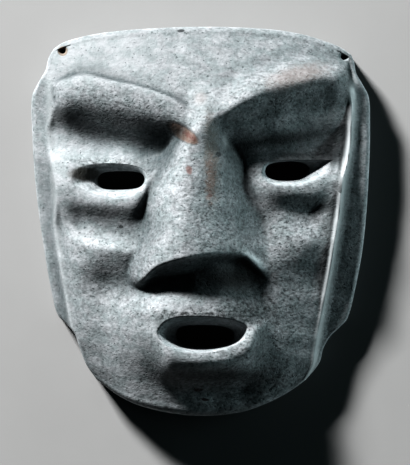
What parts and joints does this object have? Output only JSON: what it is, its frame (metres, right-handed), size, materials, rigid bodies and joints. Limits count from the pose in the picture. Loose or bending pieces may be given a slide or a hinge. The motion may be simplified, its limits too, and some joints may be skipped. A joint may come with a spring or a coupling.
{
  "type": "pendant mask",
  "caption": "Carved stone face mask with a hollowed back, pierced eyes and mouth, and drilled cord holes in its upper corners.",
  "frame": {"origin": "middle of the outline on the plane of the flat back rim, which the mask lies on", "axes": "+Z out of the face, +Y towards the forehead, +X to the right of a viewer who faces the mask"},
  "size_m": [0.1619, 0.1852, 0.055],
  "materials": {
    "stone": "polished speckled green-grey stone with small rust-brown stains, worn at its edges"
  },
  "bodies": {
    "root": {"mask": "stone"}
  },
  "joints": []
}
